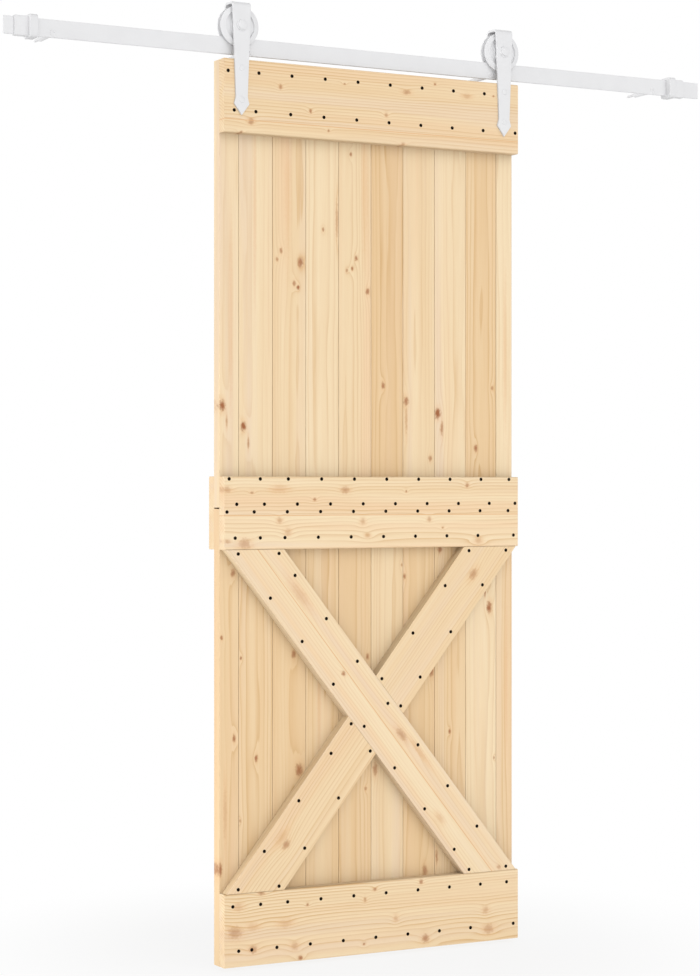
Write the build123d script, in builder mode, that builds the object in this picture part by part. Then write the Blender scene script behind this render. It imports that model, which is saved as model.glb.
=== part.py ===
from build123d import *
import os
from math import asin, atan2, cos, floor, hypot, sin, tan

os.makedirs("parts", exist_ok=True)

# Sliding plank door that hangs from an exposed flat track, all lengths in millimetres.
# +X runs right along the track, +Y into the wall and +Z up.
# The origin is on the wall, at the middle of the row of wall fixings.

# Door leaf
door_width = 800
door_height = 2100
board_thickness = 28
rail_height = 170
middle_rail_foot = 965
wall_clearance = 8
rail_chamfer = 2

# Tongue and groove planks
plank_cover = 88
first_plank = 50
narrowest_plank = 20
plank_meeting_share = 0.565
plank_end_gap = 3
plank_seam = 0.4
plank_bevel = 1.4
tongue_length = 6
tongue_thickness = 8
tongue_clearance = 0.3

# Braces
brace_width = 116
brace_tip_inset = 6
butt_screw_gap = 2.1
inner_pair_gap = 3.9185

# Wood screws
screw_head_radius = 4
screw_core_radius = 2
screw_head_depth = 3.5
screw_point_cover = 6
screw_proud = 0.2
screw_sides = 8

# Track and its wall fixings
track_height = 40
track_thickness = 6
track_left_overrun = 23.5
track_right_overrun = 49.5
track_chamfer = 0.8
door_gap = 11
inner_fixing_reach = 331
outer_fixing_inset = 41
lag_radius = 4
lag_head_radius = 7.5
lag_thread_radius = 3.4
lag_in_wall = 32
lag_point = 6
lag_socket = 5
lag_socket_depth = 2.5
spacer_radius = 6.5
spacer_clearance = 0.3
spacer_flange_gap = 1.5

# Hangers
strap_inset = 42.5
strap_thickness = 5
strap_top_width = 47
strap_neck_width = 30
strap_barb_width = 38.5
strap_neck_drop = 88
strap_barb_drop = 104
strap_tip_drop = 130
strap_headroom = 1.5
strap_bend = 12
strap_back_drop = 24
strap_back_round = 14
upper_bolt_drop = 21
lower_bolt_drop = 95
strap_bolt_radius = 4
strap_bolt_head_radius = 7
strap_bolt_head_height = 2
strap_bolt_head_chamfer = 1.2
strap_nut_width = 13
strap_nut_height = 6.5
strap_nut_flange_radius = 9
strap_nut_flange = 1.8
strap_bolt_overrun = 3
bolt_clearance = 0.3

# Wheels and axles
groove_radius = 26.2
groove_side_gap = 1
groove_flare = 2.5
flange_depth = 22.3
flange_tip = 4
wheel_width = 28
wheel_side_gap = 3.5
web_width = 13.5
web_recess = 4
web_slope = 1.5
hub_wall = 7
track_running_gap = 0.3
bearing_wall = 7
bearing_inset = 0.8
sleeve_wall = 3
running_clearance = 0.05
axle_radius = 6
axle_clearance = 0.05
axle_flange_radius = 13.5
axle_flange = 2
axle_head_width = 19
axle_head_height = 4
axle_nut_height = 10
axle_overrun = 3

# End stops
stop_reach = 857
bumper_length = 19
bumper_depth = 40
bumper_height = 52
bumper_round = 7
stop_length = 32
stop_depth = 17
stop_height = 45
stop_round = 2.5
stop_clearance = 0.2
grub_radius = 3
grub_spacing = 20
grub_socket = 3
grub_socket_depth = 3

# Places that follow from these sizes
front = -(wall_clearance + 3 * board_thickness)
plank_front = front + board_thickness
plank_back = plank_front + board_thickness
strap_gap = wheel_width + 2 * wheel_side_gap
track_plane = front + strap_gap / 2

# The fixings sit low enough in the track for the wheels' flanges to pass over the spacers
flange_radius = groove_radius + flange_depth
axle_height = spacer_radius + spacer_flange_gap + flange_radius
track_top = axle_height - groove_radius - track_running_gap
track_middle = track_top - track_height / 2
door_top = track_top - track_height - door_gap
door_foot = door_top - door_height
door_left = -door_width / 2
strap_top = axle_height + flange_radius + strap_headroom + strap_thickness
strap_front = front - strap_thickness
strap_back = front + strap_gap + strap_thickness
strap_bolt_drops = (upper_bolt_drop, lower_bolt_drop)
hangers = {"left": door_left + strap_inset, "right": -door_left - strap_inset}
outer_fixing_reach = stop_reach - outer_fixing_inset
fixings = (-outer_fixing_reach, -inner_fixing_reach, inner_fixing_reach, outer_fixing_reach)

# Every block below draws in a plane that faces the room: its X runs right and its Y up
facing = Plane(origin=(0, 0, 0), x_dir=(1, 0, 0), z_dir=(0, -1, 0))


def room_plane(depth):
    """The plane parallel to the wall at this depth, facing the room."""
    return facing.offset(-depth)


def keep(builder, name):
    """Labels a finished piece and writes it."""
    builder.part.label = name
    export_step(builder.part, f"parts/{name}.step")


# Planks, each with a tongue at its right and a groove at its left, plain at the door's own edges
full_planks = floor((door_width - first_plank - narrowest_plank) / plank_cover)
seams = [door_left + first_plank + plank_cover * n for n in range(full_planks + 1)]
plank_edges = [door_left] + seams + [-door_left]
plank_meeting = door_foot + middle_rail_foot + rail_height * plank_meeting_share
plank_ranges = {
    "upper": (plank_meeting + plank_end_gap / 2, door_top),
    "lower": (door_foot, plank_meeting - plank_end_gap / 2),
}
plank_middle = (plank_front + plank_back) / 2
tongue_half = tongue_thickness / 2
groove_half = tongue_half + tongue_clearance
groove_depth = tongue_length + tongue_clearance
bolt_hole_radius = strap_bolt_radius + bolt_clearance


def plank_outline(left, right, grooved, tongued):
    """Corners of a plank's section, from its front left corner round to the back."""
    left_face = left + plank_seam / 2 if grooved else left
    right_face = right - plank_seam / 2 if tongued else right
    corners = [(left_face + plank_bevel, plank_front), (right_face - plank_bevel, plank_front)]
    corners += [(right_face, plank_front + plank_bevel)]
    if tongued:
        tip = right_face + tongue_length
        corners += [(right_face, plank_middle - tongue_half), (tip, plank_middle - tongue_half)]
        corners += [(tip, plank_middle + tongue_half), (right_face, plank_middle + tongue_half)]
    corners += [(right_face, plank_back), (left_face, plank_back)]
    if grooved:
        floor_x = left_face + groove_depth
        corners += [(left_face, plank_middle + groove_half), (floor_x, plank_middle + groove_half)]
        corners += [(floor_x, plank_middle - groove_half), (left_face, plank_middle - groove_half)]
    return corners + [(left_face, plank_front + plank_bevel)]


for half, (foot, head) in plank_ranges.items():
    for number, (left, right) in enumerate(zip(plank_edges, plank_edges[1:]), start=1):
        grooved, tongued = left > door_left, right < -door_left
        reach = tongue_length + bolt_hole_radius
        bolts = [x for x in hangers.values() if half == "upper" and left - reach < x < right + reach]
        with BuildPart() as plank:
            with BuildSketch(Plane.XY.offset(foot)):
                with BuildLine():
                    Polyline(*plank_outline(left, right, grooved, tongued), close=True)
                make_face()
            extrude(amount=head - foot)
            if bolts:
                holes = [(x, door_top - drop) for x in bolts for drop in strap_bolt_drops]
                with BuildSketch(room_plane(plank_front)):
                    with Locations(*holes):
                        Circle(bolt_hole_radius)
                extrude(amount=-board_thickness, mode=Mode.SUBTRACT)
        keep(plank, f"{half}_plank_{number:02d}")

# Rails, boards across the door with their long front edges eased
rail_places = {
    "top_rail": (door_top - rail_height, front),
    "middle_rail": (door_foot + middle_rail_foot, front),
    "back_rail": (door_foot + middle_rail_foot, plank_back),
    "bottom_rail": (door_foot, front),
}
for name, (foot, depth) in rail_places.items():
    with BuildPart() as rail:
        with BuildSketch(room_plane(depth)):
            with Locations((0, foot + rail_height / 2)):
                Rectangle(door_width, rail_height)
        extrude(amount=-board_thickness)
        shown = Axis.Y if name == "back_rail" else -Axis.Y
        outer_face = rail.faces().sort_by(shown)[-1]
        chamfer(outer_face.edges().filter_by(Axis.X), length=rail_chamfer)
        if name == "top_rail":
            holes = [(x, door_top - drop) for x in hangers.values() for drop in strap_bolt_drops]
            with BuildSketch(room_plane(depth)):
                with Locations(*holes):
                    Circle(bolt_hole_radius)
            extrude(amount=-board_thickness, mode=Mode.SUBTRACT)
    keep(rail, name)

# Braces between the middle and the bottom rail, crossing in the middle of that field
field_foot = door_foot + rail_height
field_head = door_foot + middle_rail_foot
field_middle = (field_foot + field_head) / 2
field_half = (field_head - field_foot) / 2
brace_reach = door_width / 2 - brace_tip_inset
brace_angle = atan2(field_half, brace_reach) + asin(brace_width / 2 / hypot(field_half, brace_reach))
brace_run = field_half / tan(brace_angle)
brace_slant = brace_width / sin(brace_angle)


def brace_corners(lean):
    """The corners of a brace that runs up to the left (lean -1) or to the right (lean 1)."""
    head, foot = lean * brace_run, -lean * brace_run
    half = brace_slant / 2
    return [
        (foot - half, field_foot),
        (foot + half, field_foot),
        (head + half, field_head),
        (head - half, field_head),
    ]


with BuildPart() as long_brace:
    with BuildSketch(room_plane(front)):
        with BuildLine():
            Polyline(*brace_corners(-1), close=True)
        make_face()
    extrude(amount=-board_thickness)
keep(long_brace, "long_brace")

for name, wanted in (("upper_short_brace", -1), ("lower_short_brace", 0)):
    with BuildPart() as short_brace:
        with BuildSketch(room_plane(front)) as outline:
            with BuildLine():
                Polyline(*brace_corners(1), close=True)
            make_face()
            with BuildLine():
                Polyline(*brace_corners(-1), close=True)
            make_face(mode=Mode.SUBTRACT)
        extrude(outline.sketch.faces().sort_by(Axis.Z)[wanted], amount=-board_thickness)
    keep(short_brace, name)


# Wood screws: an eight-sided blank with a countersunk head and a pointed core
def screw_blank(length):
    """A screw with its head's face at the origin and its point towards the wall."""
    with BuildPart() as blank:
        with BuildSketch(room_plane(0)):
            RegularPolygon(screw_head_radius, screw_sides)
        with BuildSketch(room_plane(screw_head_depth)) as neck:
            RegularPolygon(screw_core_radius, screw_sides)
        loft()
        loft(sections=[neck.sketch.face(), Vertex(0, length, 0)])
    return blank.part


short_screw = screw_blank(2 * board_thickness - screw_point_cover)
long_screw = screw_blank(3 * board_thickness - screw_point_cover)


def keep_screws(places, screw, name):
    """Puts a screw at each place (x, z) of the front and writes them as one group."""
    with BuildPart() as group:
        with Locations(*[(x, front - screw_proud, z) for x, z in places]):
            add(screw)
    keep(group, name)


# Each row of screws in a rail: its height in the rail, then how far across its plank the screw
# of the first, the second, each further and the last plank stands
row_shares = {
    "top_rail": [(0.83, 0.19, 0.44, 0.42, None), (0.3, 0.5, 0.35, 0.38, 0.82)],
    "middle_rail": [
        (0.965, 0.24, 0.48, 0.31, 0.43),
        (0.62, 0.63, 0.6, 0.58, 0.81),
        (0.515, 0.13, 0.3, 0.28, 0.37),
        (0.16, 0.55, 0.48, 0.21, 0.71),
    ],
    "bottom_rail": [(0.83, 0.43, 0.49, 0.29, 0.28), (0.22, 0.73, 0.23, -0.03, 0.7)],
}
for rail_name, rows in row_shares.items():
    places = []
    for height_share, first_share, second_share, next_share, last_share in rows:
        height = rail_places[rail_name][0] + rail_height * height_share
        shares = [first_share, second_share] + [next_share] * (full_planks - 1) + [last_share]
        for left, right, share in zip(plank_edges, plank_edges[1:], shares):
            if share is not None:
                places.append((left + (right - left) * share, height))
    keep_screws(places, long_screw if rail_name == "middle_rail" else short_screw, f"{rail_name}_screws")

# Screws of the braces: pairs square across the long brace, level pairs in the short ones
pair_shares = (-0.78, -0.52, -0.26, 0, 0.26, 0.52, 0.78)
pair_across_share = 0.357
end_pair_share = 0.976
level_pair_shares = (0.976, 0.765, 0.483)
level_across_share = 0.355
across = pair_across_share * brace_width
level_across = level_across_share * brace_slant
from_short = level_across * sin(brace_angle)
# the inner pair of a short brace stands a set gap off the long brace's edge
inner_from_long = brace_width / 2 + screw_head_radius + inner_pair_gap
inner_pair_share = (inner_from_long + from_short) / 2 / sin(brace_angle) / brace_run


def on_long_brace(share, side):
    """A place at this share of the way from the middle to the brace's foot, on one side of its line."""
    x, z = brace_run * share, field_middle - field_half * share
    return x + side * across * sin(brace_angle), z + side * across * sin(brace_angle) / tan(brace_angle)


def level_place(share, side, lean):
    """A place on a brace's line at this share of its height, then level to one side."""
    return lean * brace_run * share + side * level_across, field_middle + field_half * share


def butt_place(way):
    """The place of a short brace's last screw, a set gap short of the long brace's edge."""
    from_long = brace_width / 2 + screw_head_radius + butt_screw_gap
    x = (from_long + from_short) / 2 / sin(brace_angle)
    z = (from_long - from_short) / 2 / cos(brace_angle)
    return way * x, field_middle + way * z


long_places = [on_long_brace(share, side) for share in pair_shares for side in (-1, 1)]
long_places += [level_place(end * end_pair_share, side, -1) for end in (-1, 1) for side in (-1, 1)]
keep_screws(long_places, short_screw, "long_brace_screws")
for name, way in (("upper_brace_screws", 1), ("lower_brace_screws", -1)):
    shares = (*level_pair_shares, inner_pair_share)
    places = [level_place(way * share, side, 1) for share in shares for side in (-1, 1)]
    places.append(butt_place(way))
    keep_screws(places, short_screw, name)

# Track, a flat bar on edge with countersunk holes
stop_end = stop_reach + bumper_length + stop_length
track_length = 2 * stop_end + track_left_overrun + track_right_overrun
track_centre = (track_right_overrun - track_left_overrun) / 2
track_front = track_plane - track_thickness / 2
track_back = track_plane + track_thickness / 2
countersink = lag_head_radius - lag_radius
with BuildPart() as track:
    with BuildSketch(room_plane(track_front)):
        with Locations((track_centre, track_middle)):
            Rectangle(track_length, track_height)
    extrude(amount=-track_thickness)
    chamfer(track.edges().filter_by(Axis.X), length=track_chamfer)
    with Locations(*[room_plane(track_front) * Location((x, 0, 0)) for x in fixings]):
        CounterSinkHole(lag_radius, lag_head_radius, depth=track_thickness, counter_sink_angle=90)
keep(track, "track")

with BuildPart() as track_spacers:
    with BuildSketch(room_plane(track_back)):
        with Locations(*[(x, 0) for x in fixings]):
            Circle(spacer_radius)
            Circle(lag_radius + spacer_clearance, mode=Mode.SUBTRACT)
    extrude(amount=track_back)
keep(track_spacers, "track_spacers")

# Lag bolts: head flush with the track, plain shank up to the wall, threaded end in the wall
lag_end = lag_in_wall + lag_point
with BuildPart() as lag_bolt:
    with BuildSketch(Plane.XY):
        with BuildLine():
            Polyline(
                (0, track_front),
                (lag_head_radius, track_front),
                (lag_radius, track_front + countersink),
                (lag_radius, 0),
                (lag_thread_radius, 0),
                (lag_thread_radius, lag_in_wall),
                (0, lag_end),
                close=True,
            )
        make_face()
    revolve(axis=Axis.Y)
    with BuildSketch(room_plane(track_front)):
        RegularPolygon(lag_socket / 2, 6, major_radius=False)
    extrude(amount=-lag_socket_depth, mode=Mode.SUBTRACT)
with BuildPart() as lag_bolts:
    with Locations(*[(x, 0, 0) for x in fixings]):
        add(lag_bolt.part)
keep(lag_bolts, "lag_bolts")

# Hanger straps: flat bar bent over the wheel, its front leg tapering to an arrow tip on the door
strap_side = [
    (strap_front, door_top - strap_tip_drop),
    (strap_front, strap_top),
    (strap_back, strap_top),
    (strap_back, axle_height - strap_back_drop),
    (strap_back - strap_thickness, axle_height - strap_back_drop),
    (strap_back - strap_thickness, strap_top - strap_thickness),
    (front, strap_top - strap_thickness),
    (front, door_top - strap_tip_drop),
]
strap_levels = [
    (strap_top_width / 2, strap_top),
    (strap_neck_width / 2, door_top - strap_neck_drop),
    (strap_barb_width / 2, door_top - strap_barb_drop),
]
strap_face = [(-x, z) for x, z in strap_levels] + [(0, door_top - strap_tip_drop)]
strap_face += [(x, z) for x, z in reversed(strap_levels)]
strap_depth = strap_back - strap_front

with BuildPart() as strap:
    with BuildSketch(Plane.YZ) as side:
        with BuildLine():
            Polyline(*strap_side, close=True)
        make_face()
        fillet(side.vertices().group_by(Axis.Y)[-2], radius=strap_bend - strap_thickness)
        fillet(side.vertices().group_by(Axis.Y)[-1], radius=strap_bend)
    extrude(amount=strap_top_width / 2, both=True)
    with BuildSketch(room_plane(strap_front)):
        with BuildLine():
            Polyline(*strap_face, close=True)
        make_face()
    extrude(amount=-strap_depth, mode=Mode.INTERSECT)
    back_end = strap.edges().filter_by(Axis.Y).group_by(Axis.Z)
    level = [group for group in back_end if group[0].center().Y > front + strap_gap / 2][0]
    fillet(level, radius=strap_back_round)
    with BuildSketch(room_plane(strap_front)):
        with Locations((0, axle_height)):
            Circle(axle_radius + bolt_clearance)
    extrude(amount=-strap_depth, mode=Mode.SUBTRACT)
    with BuildSketch(room_plane(strap_front)):
        with Locations(*[(0, door_top - drop) for drop in strap_bolt_drops]):
            Circle(bolt_hole_radius)
    extrude(amount=-strap_thickness, mode=Mode.SUBTRACT)

# Grooved wheel, turned about its axle, with a recessed web between rim and hub
wheel_half = wheel_width / 2
groove_foot = track_thickness / 2 + groove_side_gap
groove_mouth = groove_foot + groove_flare
sleeve_radius = axle_radius + axle_clearance + sleeve_wall
bearing_radius = sleeve_radius + running_clearance + bearing_wall
hub_radius = bearing_radius + hub_wall
rim_inner_radius = hub_radius + web_width
wheel_section = [
    (wheel_half, bearing_radius),
    (wheel_half, hub_radius),
    (wheel_half - web_recess, hub_radius + web_slope),
    (wheel_half - web_recess, rim_inner_radius - web_slope),
    (wheel_half, rim_inner_radius),
    (groove_mouth + flange_tip, flange_radius),
    (groove_mouth, flange_radius),
    (groove_foot, groove_radius),
]
wheel_profile = wheel_section + [(-along, radius) for along, radius in reversed(wheel_section)]
with BuildPart() as wheel:
    with BuildSketch(Plane.XY):
        with BuildLine():
            Polyline(*[(radius, along) for along, radius in wheel_profile], close=True)
        make_face()
    revolve(axis=Axis.Y)

bearing_half = wheel_half - bearing_inset
with BuildPart() as bearing:
    with BuildSketch(room_plane(-bearing_half)):
        Circle(bearing_radius)
        Circle(sleeve_radius + running_clearance, mode=Mode.SUBTRACT)
    extrude(amount=-2 * bearing_half)

for side_name, x in hangers.items():
    for piece, name, y, z in (
        (strap, "hanger_strap", 0, 0),
        (wheel, "wheel", track_plane, axle_height),
        (bearing, "wheel_bearing", track_plane, axle_height),
    ):
        with BuildPart() as placed:
            with Locations((x, y, z)):
                add(piece.part)
        keep(placed, f"{side_name}_{name}")

# Axle sleeves, bolts and nuts
axles = [(x, axle_height) for x in hangers.values()]
axle_end = strap_back + axle_nut_height + axle_overrun
with BuildPart() as axle_sleeves:
    with BuildSketch(room_plane(front)):
        with Locations(*axles):
            Circle(sleeve_radius)
            Circle(axle_radius + axle_clearance, mode=Mode.SUBTRACT)
    extrude(amount=-strap_gap)
keep(axle_sleeves, "axle_sleeves")

with BuildPart() as axle_bolts:
    with BuildSketch(room_plane(strap_front)):
        with Locations(*axles):
            Circle(axle_flange_radius)
    extrude(amount=axle_flange)
    with BuildSketch(room_plane(strap_front - axle_flange)):
        with Locations(*axles):
            RegularPolygon(axle_head_width / 2, 6, major_radius=False)
    extrude(amount=axle_head_height)
    with BuildSketch(room_plane(strap_front)):
        with Locations(*axles):
            Circle(axle_radius)
    extrude(amount=strap_front - axle_end)
keep(axle_bolts, "axle_bolts")

with BuildPart() as axle_nuts:
    with BuildSketch(room_plane(strap_back)):
        with Locations(*axles):
            RegularPolygon(axle_head_width / 2, 6, major_radius=False)
            Circle(axle_radius, mode=Mode.SUBTRACT)
    extrude(amount=-axle_nut_height)
keep(axle_nuts, "axle_nuts")

# Strap bolts through strap, rail and plank, with flanged nuts at the back of the door
strap_bolt_places = [(x, door_top - drop) for x in hangers.values() for drop in strap_bolt_drops]
strap_bolt_end = plank_back + strap_nut_flange + strap_nut_height + strap_bolt_overrun
with BuildPart() as strap_bolts:
    with BuildSketch(room_plane(strap_front)):
        with Locations(*strap_bolt_places):
            Circle(strap_bolt_head_radius)
    extrude(amount=strap_bolt_head_height)
    heads = strap_bolts.faces().group_by(Axis.Y)[0]
    chamfer(heads.edges(), length=strap_bolt_head_chamfer)
    with BuildSketch(room_plane(strap_front)):
        with Locations(*strap_bolt_places):
            Circle(strap_bolt_radius)
    extrude(amount=strap_front - strap_bolt_end)
keep(strap_bolts, "strap_bolts")

with BuildPart() as strap_nuts:
    with BuildSketch(room_plane(plank_back)):
        with Locations(*strap_bolt_places):
            Circle(strap_nut_flange_radius)
    extrude(amount=-strap_nut_flange)
    with BuildSketch(room_plane(plank_back + strap_nut_flange)):
        with Locations(*strap_bolt_places):
            RegularPolygon(strap_nut_width / 2, 6, major_radius=False)
    extrude(amount=-strap_nut_height)
    with BuildSketch(room_plane(plank_back)):
        with Locations(*strap_bolt_places):
            Circle(strap_bolt_radius)
    extrude(amount=-(strap_nut_flange + strap_nut_height), mode=Mode.SUBTRACT)
keep(strap_nuts, "strap_nuts")

# End stops: a sleeve clamped on the track by grub screws, with a bumper on its inner end
slot_height = track_height + 2 * stop_clearance
slot_thickness = track_thickness + 2 * stop_clearance
stop_back = track_plane + stop_depth / 2
grub_heights = (track_middle - grub_spacing / 2, track_middle + grub_spacing / 2)
stop_middle = stop_reach + bumper_length + stop_length / 2

for side_name, way in (("left", -1), ("right", 1)):
    inner = way * stop_reach
    bumper_outer = inner + way * bumper_length
    with BuildPart() as stop:
        with BuildSketch(Plane.YZ.offset(bumper_outer)):
            with Locations((track_plane, track_middle)):
                RectangleRounded(stop_depth, stop_height, stop_round)
                Rectangle(slot_thickness, slot_height, mode=Mode.SUBTRACT)
        extrude(amount=way * stop_length)
        with BuildSketch(room_plane(stop_back)):
            with Locations(*[(way * stop_middle, z) for z in grub_heights]):
                Circle(grub_radius)
        extrude(amount=stop_back - track_back, mode=Mode.SUBTRACT)
    keep(stop, f"{side_name}_stop")
    with BuildPart() as bumper:
        with BuildSketch(Plane.YZ.offset(inner)):
            with Locations((track_plane, track_middle)):
                RectangleRounded(bumper_depth, bumper_height, bumper_round)
                Rectangle(slot_thickness, slot_height, mode=Mode.SUBTRACT)
        extrude(amount=way * bumper_length)
    keep(bumper, f"{side_name}_bumper")

grub_places = [(way * stop_middle, z) for way in (-1, 1) for z in grub_heights]
with BuildPart() as grub_screws:
    with BuildSketch(room_plane(track_back)):
        with Locations(*grub_places):
            Circle(grub_radius)
    extrude(amount=track_back - stop_back)
    with BuildSketch(room_plane(stop_back)):
        with Locations(*grub_places):
            RegularPolygon(grub_socket / 2, 6, major_radius=False)
    extrude(amount=grub_socket_depth, mode=Mode.SUBTRACT)
keep(grub_screws, "grub_screws")
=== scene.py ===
"""Dresses the sliding plank door: softwood boards, black screws and white powder-coated track hardware."""

import math

import bmesh
import bpy
from bpy.props import FloatProperty, FloatVectorProperty, IntProperty, PointerProperty
from mathutils import Matrix, Vector


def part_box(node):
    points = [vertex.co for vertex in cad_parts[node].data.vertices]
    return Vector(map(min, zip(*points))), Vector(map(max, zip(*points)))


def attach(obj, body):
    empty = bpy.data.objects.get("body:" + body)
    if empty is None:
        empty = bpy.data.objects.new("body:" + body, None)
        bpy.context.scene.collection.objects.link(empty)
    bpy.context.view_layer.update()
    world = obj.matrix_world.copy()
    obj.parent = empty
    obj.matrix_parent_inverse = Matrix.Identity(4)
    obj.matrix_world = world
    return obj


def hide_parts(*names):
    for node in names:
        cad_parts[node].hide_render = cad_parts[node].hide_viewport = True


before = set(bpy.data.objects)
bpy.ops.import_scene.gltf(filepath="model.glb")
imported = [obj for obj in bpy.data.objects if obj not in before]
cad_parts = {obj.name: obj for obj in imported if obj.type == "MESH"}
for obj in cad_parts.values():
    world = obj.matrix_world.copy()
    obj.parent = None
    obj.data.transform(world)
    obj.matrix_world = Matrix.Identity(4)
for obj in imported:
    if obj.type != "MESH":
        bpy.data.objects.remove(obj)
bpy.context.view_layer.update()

bl_info = {
    "name": "Plank Door",
    "version": (1, 0, 0),
    "blender": (4, 5, 0),
    "location": "3D View > Sidebar > Plank Door",
    "description": "Dresses a sliding plank door and its exposed track",
    "category": "Object",
}

MM = 0.001
DOOR_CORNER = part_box("bottom_rail")[0]
SIDES = ("left", "right")

# Mesh tolerances in metres, and the angles from which an edge counts as one
WELD = 1e-6
TURNED_WELD = 1e-7
LEVEL = 1e-5
FLAT_ANGLE = math.radians(0.4)
EASED_ANGLE = math.radians(28)
TURNED_SHARP_ANGLE = math.radians(32)
SCREW_SHARP_ANGLE = math.radians(30)

# Steps round a turned shape, round a corner of its section, and along one turn of a thread
WHEEL_STEPS, FLANGE_STEPS, BEARING_STEPS, RING_STEPS, SHANK_STEPS, SCREW_STEPS = 128, 96, 72, 64, 48, 16
CORNER_STEPS, FINE_CORNER_STEPS = 4, 2
THREAD_STEPS = 8
FLOOR_STEPS = 96
# Steps across an eased edge
PLANK_EDGE_STEPS, BOARD_EDGE_STEPS, BAR_EDGE_STEPS, MOULDED_EDGE_STEPS = 1, 2, 3, 4

# Shares that shape the hardware
CORNER_REACH_SHARE = 0.45
HEX_FACE_SHARE = 0.475
HEX_CHAMFER_SLOPE = 0.5
BEARING_RACE_SHARES = (0.3, 0.33, 0.68, 0.71)
AXLE_FLANGE_FACE_SHARE = 0.94
DOME_SHARES = ((0.35, 1.0), (0.85, 0.72), (1.0, 0.3))
NUT_FLANGE_EDGE_SHARE = 0.5
NUT_FLANGE_FACE_SHARE = 0.56
TRACK_EDGE_SHARE = 0.4
BUMPER_EDGE_FACTOR = 2
LAG_SOCKET_MOUTH_SHARE = 0.62
LAG_CROWN_SHARES = ((0.93, 0.6), (0.78, 0.76), (0.52, 0.89), (0.2, 0.97), (-0.15, 1.0))
THREAD_SLOPE = 1.6
SCREW_FACE_SHARE = 0.96
SCREW_RIM_SHARE = 0.06
SCREW_TAPER_SHARES = (0.8, 0.85)
RECESS_FOOT_SHARE = 0.45


def colour(name, description, default):
    """A colour that the user can change."""
    return FloatVectorProperty(
        name=name, description=description, subtype="COLOR", size=3, min=0, max=1, default=default
    )


def length(name, description, default):
    """A length in metres that the user can change."""
    return FloatProperty(name=name, description=description, unit="LENGTH", default=default, min=0)


def amount(name, description, default, top=1.0):
    """A plain share or factor that the user can change."""
    return FloatProperty(name=name, description=description, default=default, min=0, max=top)


def angular(name, description, default):
    """An angle in radians that the user can change."""
    return FloatProperty(name=name, description=description, subtype="ANGLE", default=default)


class PLANKDOOR_wood(bpy.types.PropertyGroup):
    """Colours and grain of the softwood."""

    cream: colour("Cream", "Palest sapwood", (0.91, 0.735, 0.488))
    tan: colour("Tan", "Warmest board", (0.81, 0.57, 0.315))
    blush: colour("Blush", "Pinkish heartwood", (0.88, 0.60, 0.37))
    cool: colour("Cool", "Greyish stripes in the sapwood", (0.84, 0.66, 0.49))
    late: colour("Late wood", "Dark edge of a year ring", (0.70, 0.44, 0.20))
    halo: colour("Halo", "Resin-rich wood round a knot", (0.76, 0.42, 0.18))
    knot: colour("Knot", "Heart of a knot", (0.36, 0.12, 0.035))
    ring_spacing: length("Ring spacing", "Distance between year rings", 0.0042)
    wander: length("Wander", "How far the rings stray along a board", 0.009)
    relief: length("Relief", "Depth of the grain's relief", 0.0002)
    contrast: amount("Ring contrast", "How clearly the rings show", 0.72)
    corner_shade: amount("Corner shade", "How much of the light between boards is held back", 0.6)
    edge: length("Eased edge", "Rounding of the boards' edges", 0.0009)
    plank_edge: length("Plank edge", "Rounding of the planks' edges", 0.0004)
    plank_bevel: length("Plank bevel", "Bevel along the planks' joints", 0.0008)
    brace_lean: angular("Brace lean", "Angle of the braces above level", 0.8936)


class PLANKDOOR_screws(bpy.types.PropertyGroup):
    """The black wood screws."""

    head_radius: length("Head radius", "Radius of a screw head", 0.0043)
    head_depth: length("Head depth", "Depth of the countersunk head", 0.0035)
    core_radius: length("Core radius", "Radius of the shank", 0.002)
    recess_reach: length("Recess reach", "How far the cross recess reaches out", 0.0021)
    recess_half: length("Recess half width", "Half the width of an arm of the recess", 0.00045)
    recess_depth: length("Recess depth", "Depth of the cross recess, which stays above the board", 0.00015)
    seed: IntProperty(name="Seed", description="Turns the recesses at random", default=7)
    tint: colour("Colour", "Black phosphate", (0.010, 0.006, 0.004))


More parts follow.
